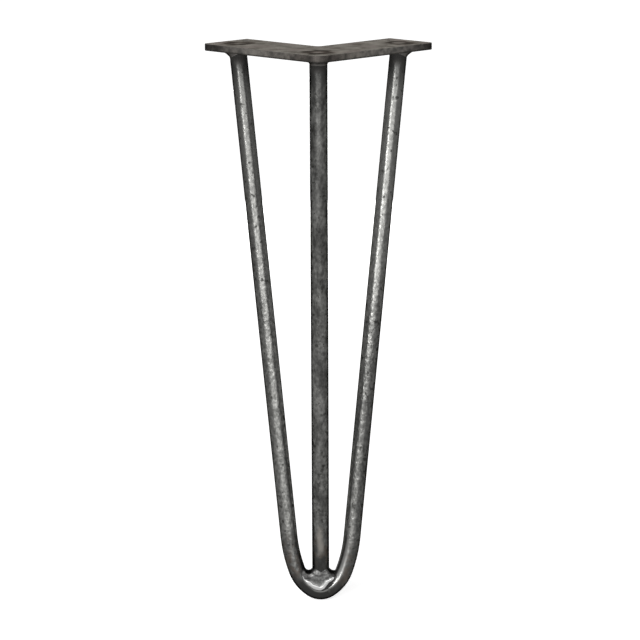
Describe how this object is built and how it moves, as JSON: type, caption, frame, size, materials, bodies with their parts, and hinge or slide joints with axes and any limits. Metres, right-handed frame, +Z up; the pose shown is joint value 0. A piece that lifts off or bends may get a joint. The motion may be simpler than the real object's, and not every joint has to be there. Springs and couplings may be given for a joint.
{
  "type": "hairpin table leg",
  "caption": "Raw steel hairpin table leg: a round bar bent into a U and a straight bar, welded together at the foot and under a V-shaped screw plate.",
  "frame": {"origin": "on the plate's top face, where the centre lines of its two arms cross", "axes": "+Z up into the table top, -Y out along the V's elbow to the table's corner, +X across the leg"},
  "size_m": [0.1548, 0.1019, 0.39],
  "materials": {
    "bar": "raw hot-rolled round bar, dark mill scale rubbed bright in streaks",
    "plate": "raw hot-rolled flat steel, grey-brown mill scale with heat marks over the welds",
    "weld": "bare weld metal, lumpy and shiny"
  },
  "bodies": {
    "root": {"mounting_plate": "plate", "hairpin_bar": "bar", "corner_bar": "bar", "welds": "weld"}
  },
  "joints": []
}
